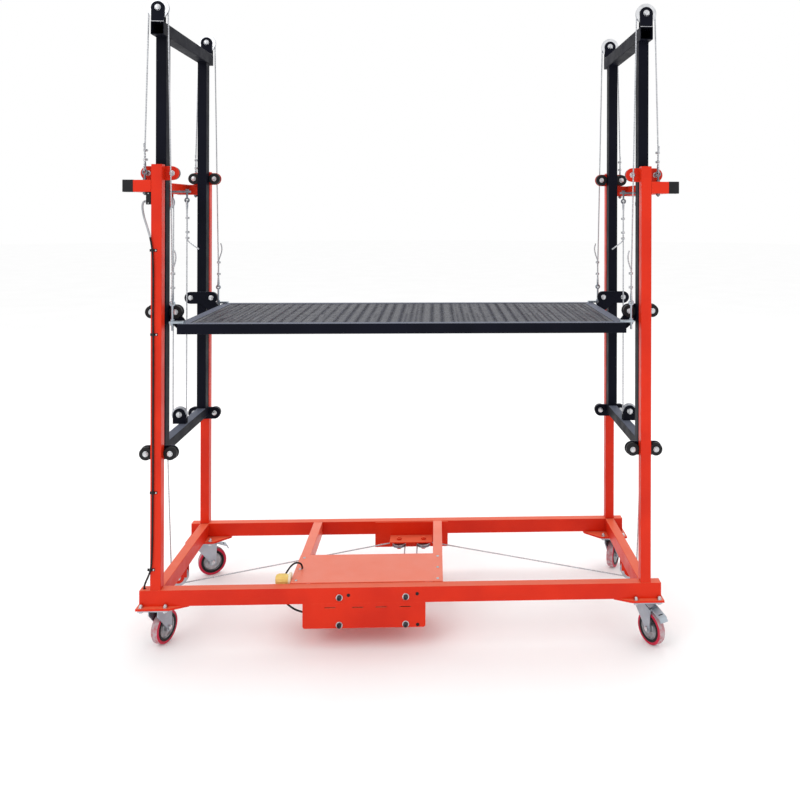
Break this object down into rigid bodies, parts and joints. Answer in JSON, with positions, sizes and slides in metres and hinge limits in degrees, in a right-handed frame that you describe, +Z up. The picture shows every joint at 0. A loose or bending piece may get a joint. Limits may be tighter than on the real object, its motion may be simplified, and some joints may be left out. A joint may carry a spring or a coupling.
{
  "type": "electric lifting scaffold",
  "caption": "Wheeled electric lifting scaffold: red base with uprights, sliding black masts at both ends and a mesh work platform raised by winch and wire ropes.",
  "frame": {"origin": "on the floor, under the middle of the base", "axes": "+X to the right along the base, +Y to the back, +Z up"},
  "size_m": [2.136, 0.8314, 2.4939],
  "materials": {
    "red_paint": "semi-gloss powder coat",
    "black_paint": "semi-gloss powder coat",
    "zinc_steel": "bright zinc plating",
    "pulley_steel": "blackened steel",
    "roller_nylon": "black nylon",
    "wheel_tyre": "wine-red polyurethane",
    "black_plastic": "moulded black",
    "yellow_plastic": "moulded yellow",
    "winch_grey": "dark grey paint"
  },
  "bodies": {
    "base": {"front_beam": "red_paint", "back_beam": "red_paint", "side_beams": "red_paint", "cross_beams": "red_paint", "corner_plates": "red_paint", "caster_plates": "zinc_steel", "hex_bolts": "zinc_steel", "front_uprights": "red_paint", "back_uprights": "red_paint", "head_tubes": "red_paint", "arm_end_caps": "black_plastic", "upper_roller_plates": "red_paint", "upper_rollers": "roller_nylon", "pulley_brackets": "red_paint", "guide_pulley_plate": "red_paint", "rope_anchors": "zinc_steel", "winch_housing": "red_paint", "winch_cover": "red_paint", "winch_motor": "winch_grey", "base_ropes": "zinc_steel", "limit_switch": "black_plastic", "cables": "black_plastic", "lead_connector": "yellow_plastic"},
    "left_mast": {"left_mast_frame": "black_paint", "left_mast_roller_plates": "black_paint", "left_mast_rollers": "roller_nylon", "left_mast_brackets": "black_paint"},
    "right_mast": {"right_mast_frame": "black_paint", "right_mast_roller_plates": "black_paint", "right_mast_rollers": "roller_nylon", "right_mast_brackets": "black_paint"},
    "platform": {"platform_frame": "black_paint", "platform_deck": "black_paint", "platform_roller_plates": "black_paint", "platform_rollers": "roller_nylon", "platform_eye_bolts": "zinc_steel", "platform_ropes": "zinc_steel"},
    "left_mast_pulleys_body": {"left_mast_pulleys": "pulley_steel"},
    "left_lift_pulley_body": {"left_lift_pulley": "pulley_steel"},
    "left_top_pulley_body": {"left_top_pulley": "pulley_steel"},
    "left_base_pulley_body": {"left_base_pulley": "pulley_steel"},
    "left_guide_pulley_body": {"left_guide_pulley": "pulley_steel"},
    "right_mast_pulleys_body": {"right_mast_pulleys": "pulley_steel"},
    "right_lift_pulley_body": {"right_lift_pulley": "pulley_steel"},
    "right_top_pulley_body": {"right_top_pulley": "pulley_steel"},
    "right_base_pulley_body": {"right_base_pulley": "pulley_steel"},
    "right_guide_pulley_body": {"right_guide_pulley": "pulley_steel"},
    "winch_drum_body": {"winch_drum": "pulley_steel"},
    "front_left_fork_body": {"front_left_fork": "zinc_steel"},
    "front_left_wheel_body": {"front_left_wheel": "wheel_tyre"},
    "front_left_pedal_body": {"front_left_pedal": "zinc_steel"},
    "front_right_fork_body": {"front_right_fork": "zinc_steel"},
    "front_right_wheel_body": {"front_right_wheel": "wheel_tyre"},
    "front_right_pedal_body": {"front_right_pedal": "zinc_steel"},
    "back_left_fork_body": {"back_left_fork": "zinc_steel"},
    "back_left_wheel_body": {"back_left_wheel": "wheel_tyre"},
    "back_left_pedal_body": {"back_left_pedal": "zinc_steel"},
    "back_right_fork_body": {"back_right_fork": "zinc_steel"},
    "back_right_wheel_body": {"back_right_wheel": "wheel_tyre"},
    "back_right_pedal_body": {"back_right_pedal": "zinc_steel"}
  },
  "joints": [
    {"name": "platform_lift", "type": "slide", "parent": "base", "child": "platform", "axis": [0, 0, 1], "range_m": [-0.75, 1.3], "deforming": ["base_ropes"]},
    {"name": "left_mast_lift", "type": "slide", "parent": "base", "child": "left_mast", "axis": [0, 0, 1], "range_m": [-0.39, 0.67]},
    {"name": "right_mast_lift", "type": "slide", "parent": "base", "child": "right_mast", "axis": [0, 0, 1], "range_m": [-0.39, 0.67]},
    {"name": "left_mast_pulleys_spin", "type": "hinge", "parent": "left_mast", "child": "left_mast_pulleys_body", "pos_m": [-0.94, 0, 2.454], "axis": [0, 1, 0], "range_deg": [-1095, 1095]},
    {"name": "left_lift_pulley_spin", "type": "hinge", "parent": "left_mast", "child": "left_lift_pulley_body", "pos_m": [-0.958, 0, 0.82], "axis": [0, 1, 0], "range_deg": [-1391, 1391]},
    {"name": "left_top_pulley_spin", "type": "hinge", "parent": "base", "child": "left_top_pulley_body", "pos_m": [-1.014, 0, 1.714], "axis": [0, 1, 0], "range_deg": [-2721, 2721]},
    {"name": "left_base_pulley_spin", "type": "hinge", "parent": "base", "child": "left_base_pulley_body", "pos_m": [-0.958, 0, 0.137], "axis": [0, 1, 0], "range_deg": [-2318, 2318]},
    {"name": "left_guide_pulley_spin", "type": "hinge", "parent": "base", "child": "left_guide_pulley_body", "pos_m": [-0.043, 0.255, 0.155], "axis": [0, 0, 1], "range_deg": [-2721, 2721]},
    {"name": "right_mast_pulleys_spin", "type": "hinge", "parent": "right_mast", "child": "right_mast_pulleys_body", "pos_m": [0.94, 0, 2.454], "axis": [0, 1, 0], "range_deg": [-1095, 1095]},
    {"name": "right_lift_pulley_spin", "type": "hinge", "parent": "right_mast", "child": "right_lift_pulley_body", "pos_m": [0.958, 0, 0.82], "axis": [0, 1, 0], "range_deg": [-1391, 1391]},
    {"name": "right_top_pulley_spin", "type": "hinge", "parent": "base", "child": "right_top_pulley_body", "pos_m": [1.014, 0, 1.714], "axis": [0, 1, 0], "range_deg": [-2721, 2721]},
    {"name": "right_base_pulley_spin", "type": "hinge", "parent": "base", "child": "right_base_pulley_body", "pos_m": [0.958, 0, 0.137], "axis": [0, 1, 0], "range_deg": [-2318, 2318]},
    {"name": "right_guide_pulley_spin", "type": "hinge", "parent": "base", "child": "right_guide_pulley_body", "pos_m": [0.068, 0.255, 0.155], "axis": [0, 0, 1], "range_deg": [-2721, 2721]},
    {"name": "winch_drum_spin", "type": "hinge", "parent": "base", "child": "winch_drum_body", "pos_m": [0.012, -0.19, 0.185], "axis": [1, 0, 0], "range_deg": [-2543, 2543]},
    {"name": "front_left_swivel", "type": "hinge", "parent": "base", "child": "front_left_fork_body", "pos_m": [-0.945, -0.3075, 0.16], "axis": [0, 0, 1], "continuous": true},
    {"name": "front_left_roll", "type": "hinge", "parent": "front_left_fork_body", "child": "front_left_wheel_body", "pos_m": [-0.93132, -0.26991, 0.0625], "axis": [-0.9397, 0.342, 0], "continuous": true},
    {"name": "front_left_brake", "type": "hinge", "parent": "front_left_fork_body", "child": "front_left_pedal_body", "pos_m": [-0.92858, -0.26239, 0.136], "axis": [-0.9397, 0.342, 0], "range_deg": [0, 12]},
    {"name": "front_right_swivel", "type": "hinge", "parent": "base", "child": "front_right_fork_body", "pos_m": [0.945, -0.3075, 0.16], "axis": [0, 0, 1], "continuous": true},
    {"name": "front_right_roll", "type": "hinge", "parent": "front_right_fork_body", "child": "front_right_wheel_body", "pos_m": [0.96378, -0.34282, 0.0625], "axis": [0.8829, 0.4695, 0], "continuous": true},
    {"name": "front_right_brake", "type": "hinge", "parent": "front_right_fork_body", "child": "front_right_pedal_body", "pos_m": [0.96754, -0.34988, 0.136], "axis": [0.8829, 0.4695, 0], "range_deg": [0, 12]},
    {"name": "back_left_swivel", "type": "hinge", "parent": "base", "child": "back_left_fork_body", "pos_m": [-0.945, 0.3075, 0.16], "axis": [0, 0, 1], "continuous": true},
    {"name": "back_left_roll", "type": "hinge", "parent": "back_left_fork_body", "child": "back_left_wheel_body", "pos_m": [-0.90875, 0.3244, 0.0625], "axis": [-0.4226, 0.9063, 0], "continuous": true},
    {"name": "back_left_brake", "type": "hinge", "parent": "back_left_fork_body", "child": "back_left_pedal_body", "pos_m": [-0.9015, 0.32779, 0.136], "axis": [-0.4226, 0.9063, 0], "range_deg": [0, 12]},
    {"name": "back_right_swivel", "type": "hinge", "parent": "base", "child": "back_right_fork_body", "pos_m": [0.945, 0.3075, 0.16], "axis": [0, 0, 1], "continuous": true},
    {"name": "back_right_roll", "type": "hinge", "parent": "back_right_fork_body", "child": "back_right_wheel_body", "pos_m": [0.96378, 0.34282, 0.0625], "axis": [-0.8829, 0.4695, 0], "continuous": true},
    {"name": "back_right_brake", "type": "hinge", "parent": "back_right_fork_body", "child": "back_right_pedal_body", "pos_m": [0.96754, 0.34988, 0.136], "axis": [-0.8829, 0.4695, 0], "range_deg": [0, 12]}
  ],
  "couplings": [
    {"joint": "left_mast_lift", "follows": "platform_lift", "ratio": 0.5},
    {"joint": "right_mast_lift", "follows": "platform_lift", "ratio": 0.5},
    {"joint": "left_mast_pulleys_spin", "follows": "platform_lift", "rad_per_m": -13.889},
    {"joint": "left_lift_pulley_spin", "follows": "platform_lift", "rad_per_m": 17.857},
    {"joint": "left_top_pulley_spin", "follows": "platform_lift", "rad_per_m": -35.714},
    {"joint": "left_base_pulley_spin", "follows": "platform_lift", "rad_per_m": -30.303},
    {"joint": "left_guide_pulley_spin", "follows": "platform_lift", "rad_per_m": -35.714},
    {"joint": "right_mast_pulleys_spin", "follows": "platform_lift", "rad_per_m": 13.889},
    {"joint": "right_lift_pulley_spin", "follows": "platform_lift", "rad_per_m": -17.857},
    {"joint": "right_top_pulley_spin", "follows": "platform_lift", "rad_per_m": 35.714},
    {"joint": "right_base_pulley_spin", "follows": "platform_lift", "rad_per_m": 30.303},
    {"joint": "right_guide_pulley_spin", "follows": "platform_lift", "rad_per_m": 35.714},
    {"joint": "winch_drum_spin", "follows": "platform_lift", "rad_per_m": -33.333}
  ]
}
